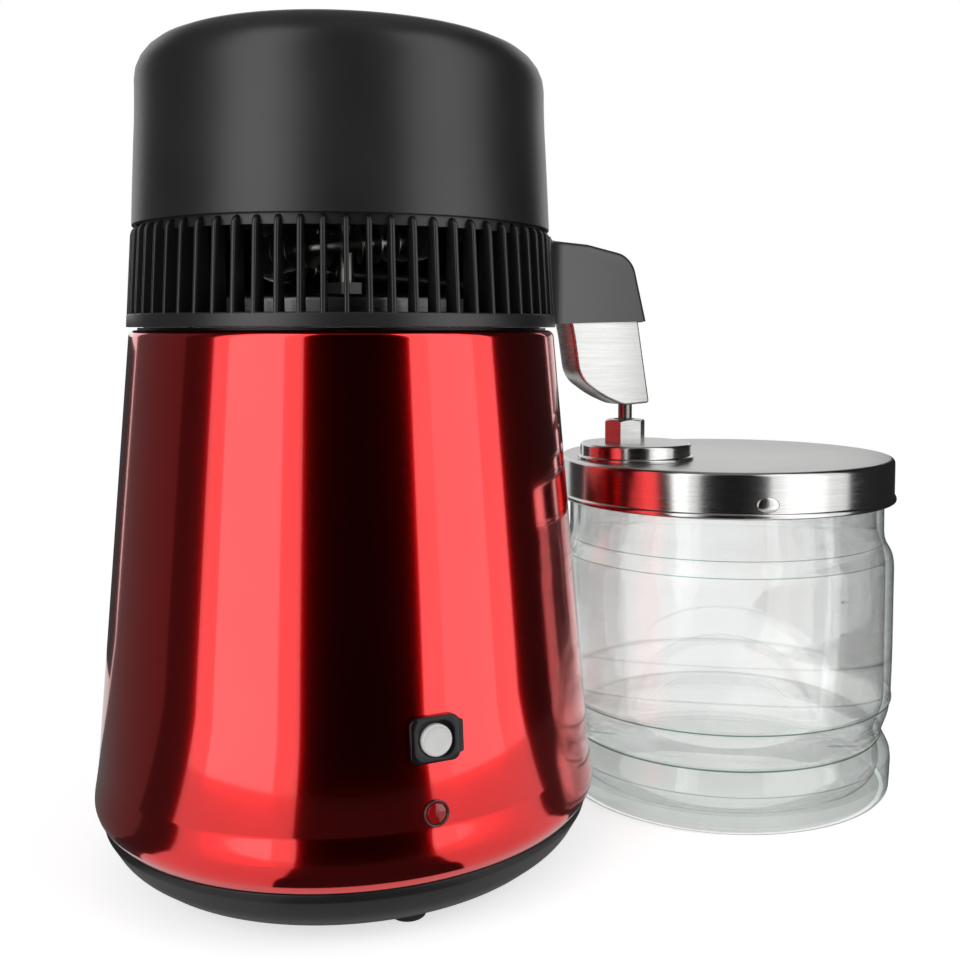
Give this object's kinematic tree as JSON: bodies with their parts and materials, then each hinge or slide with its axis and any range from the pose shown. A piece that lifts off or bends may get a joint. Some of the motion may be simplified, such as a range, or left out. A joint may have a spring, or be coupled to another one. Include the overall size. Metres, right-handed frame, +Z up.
{
  "type": "water distiller",
  "caption": "Countertop water distiller: a tapered boiler with a lift-off fan-cooled condenser head and a spout over a glass jar with a steel lid.",
  "frame": {"origin": "on the table, at the middle of the whole set's footprint", "axes": "+Z up, +X from the boiler to the jar, -Y towards the user, who sees the reset button"},
  "size_m": [0.4188, 0.23, 0.3716],
  "materials": {
    "rubber": "soft matt rubber",
    "black_plastic": "fine-grained matt moulding",
    "red_shell": "candy-red lacquer over brushed steel",
    "steel": "brushed stainless steel",
    "tank_steel": "drawn stainless steel",
    "aluminium": "plain sheet",
    "brass": "turned brass",
    "switch_black": "satin moulding",
    "button_grey": "satin moulding",
    "lens_red": "clear red moulding",
    "lamp_glass": "small neon lamp",
    "seal": "translucent silicone",
    "motor_steel": "black lacquer",
    "jar_glass": "clear pressed glass with a faint green tint",
    "sachet": "pouch of charcoal grains"
  },
  "bodies": {
    "base": {"base_pan": "black_plastic", "rubber_feet": "rubber", "tie_rods": "steel", "base_screws": "steel", "outer_shell": "red_shell", "boiling_tank": "tank_steel", "heater_plate": "aluminium", "heating_element": "steel", "thermostats": "switch_black", "switch_bezel": "switch_black", "switch_body": "switch_black", "indicator_lens": "lens_red", "indicator_lamp": "lamp_glass", "mains_inlet": "switch_black", "inlet_pins": "brass"},
    "button": {"reset_button": "button_grey"},
    "head": {"tank_gasket": "seal", "steam_lid": "tank_steel", "riser_nut": "brass", "louvre_ring": "black_plastic", "head_posts": "steel", "ring_nuts": "steel", "bracket_nuts": "steel", "top_cap": "black_plastic", "motor_bracket": "steel", "cap_screws": "steel", "motor_screws": "steel", "fan_motor": "motor_steel", "condenser_coil": "steel", "coil_fins": "aluminium", "spout_scoop": "steel"},
    "fan": {"fan_blades": "black_plastic", "motor_shaft": "steel", "fan_clip": "steel"},
    "jar": {"glass_jar": "jar_glass"},
    "lid": {"lid_seal": "seal", "jar_lid": "steel", "filter_basket": "steel", "charcoal_sachet": "sachet", "filter_cap": "steel", "outlet_nozzle": "steel", "nozzle_nut": "steel"}
  },
  "joints": [
    {"name": "head_lift", "type": "slide", "parent": "base", "child": "head", "axis": [0, 0, 1], "range_m": [0, 0.15]},
    {"name": "fan_spin", "type": "hinge", "parent": "head", "child": "fan", "pos_m": [-0.09442, 0, 0.34], "axis": [0, 0, 1], "continuous": true},
    {"name": "reset_press", "type": "slide", "parent": "base", "child": "button", "axis": [0, 0.9962, -0.0867], "range_m": [0, 0.0018], "stiffness_N_per_m": 500, "springref_m": -0.001},
    {"name": "jar_pull", "type": "slide", "parent": "base", "child": "jar", "axis": [1, 0, 0], "range_m": [0, 0.12]},
    {"name": "lid_turn", "type": "hinge", "parent": "jar", "child": "lid", "pos_m": [0.11883, 0, 0.176], "axis": [0, 0, 1], "continuous": true}
  ]
}
